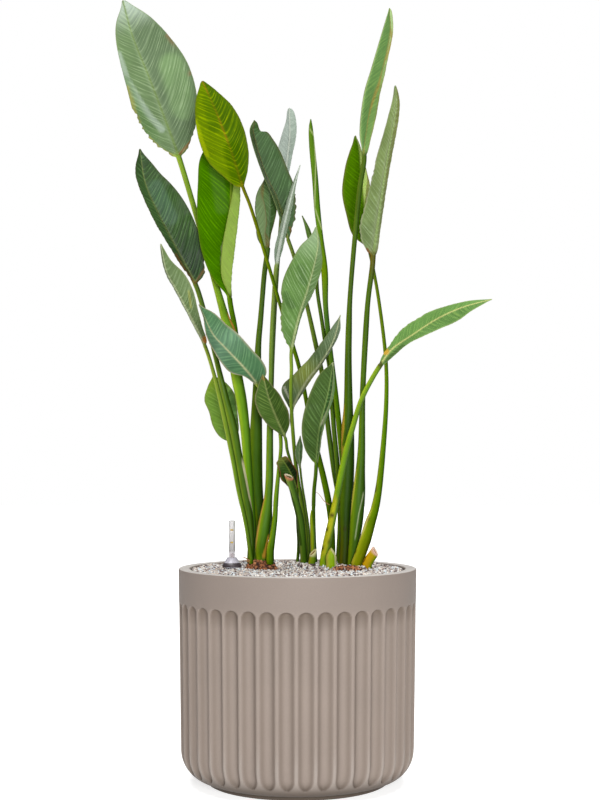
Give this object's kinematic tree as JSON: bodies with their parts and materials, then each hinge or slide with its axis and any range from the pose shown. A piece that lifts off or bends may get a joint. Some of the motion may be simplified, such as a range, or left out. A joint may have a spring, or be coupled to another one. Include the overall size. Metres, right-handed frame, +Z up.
{
  "type": "potted bird of paradise plant",
  "caption": "Tall potted bird of paradise, leaves only, in a round fluted planter filled with mineral granulate, with a water level gauge",
  "frame": {"origin": "centre of the planter's foot, on the ground", "axes": "+X to the right, +Y away from the front, +Z up; the front is the side that faces the viewer in the picture"},
  "size_m": [0.6721, 0.43, 1.4169],
  "materials": {
    "stoneware_taupe": "matte warm taupe, smooth, as a moulded planter",
    "mineral_granulate": "mixed 3 to 5 mm grains, white, grey, cream and dark",
    "root_ball_brown": "coarse brown potting crumbs",
    "gauge_clear": "clear moulded plastic",
    "gauge_red": "red float with its rod",
    "leaf_grey_green": "pale grey-green underside with fine ribs",
    "leaf_deep_green": "deep green leaf, satin",
    "leaf_bright_green": "bright green leaf, satin",
    "leaf_mid_green": "mid green leaf, satin",
    "leaf_teal_green": "cool grey-green leaf, satin",
    "leaf_olive_green": "yellow-green leaf, satin",
    "leaf_silver": "silvery leaf underside",
    "shoot_yellow_green": "young yellow-green shoot"
  },
  "bodies": {
    "pot_and_plant": {"planter": "stoneware_taupe", "granulate": "mineral_granulate", "root_ball": "root_ball_brown", "gauge_tube": "gauge_clear", "gauge_collar": "gauge_clear", "leaf_tall_left": "leaf_grey_green", "leaf_dark_left": "leaf_deep_green", "leaf_folded_green": "leaf_bright_green", "leaf_pale_left": "leaf_grey_green", "leaf_round_low": "leaf_mid_green", "leaf_rolled_teal": "leaf_teal_green", "leaf_silver_edge": "leaf_silver", "leaf_silver_back": "leaf_silver", "leaf_teal_front": "leaf_teal_green", "leaf_blistered_centre": "leaf_grey_green", "leaf_low_front": "leaf_mid_green", "leaf_low_slanting": "leaf_grey_green", "leaf_low_dark": "leaf_deep_green", "leaf_small_folded": "leaf_teal_green", "leaf_small_trimmed": "leaf_deep_green", "leaf_yellow_green": "leaf_olive_green", "leaf_grey_centre": "leaf_teal_green", "leaf_small_narrow": "leaf_mid_green", "leaf_tall_right": "leaf_mid_green", "leaf_long_right": "leaf_grey_green", "leaf_green_back": "leaf_bright_green", "leaf_arching_right": "leaf_mid_green", "leaf_spear": "leaf_bright_green", "bud_round": "shoot_yellow_green", "bud_spear": "shoot_yellow_green", "stalk_cut_tall": "leaf_teal_green", "stalk_cut_short": "shoot_yellow_green", "stalk_cut_yellow": "shoot_yellow_green"},
    "float": {"gauge_float": "gauge_red"}
  },
  "joints": [
    {"name": "float_slide", "type": "slide", "parent": "pot_and_plant", "child": "float", "axis": [0, 0, 1], "range_m": [0, 0.045]}
  ]
}
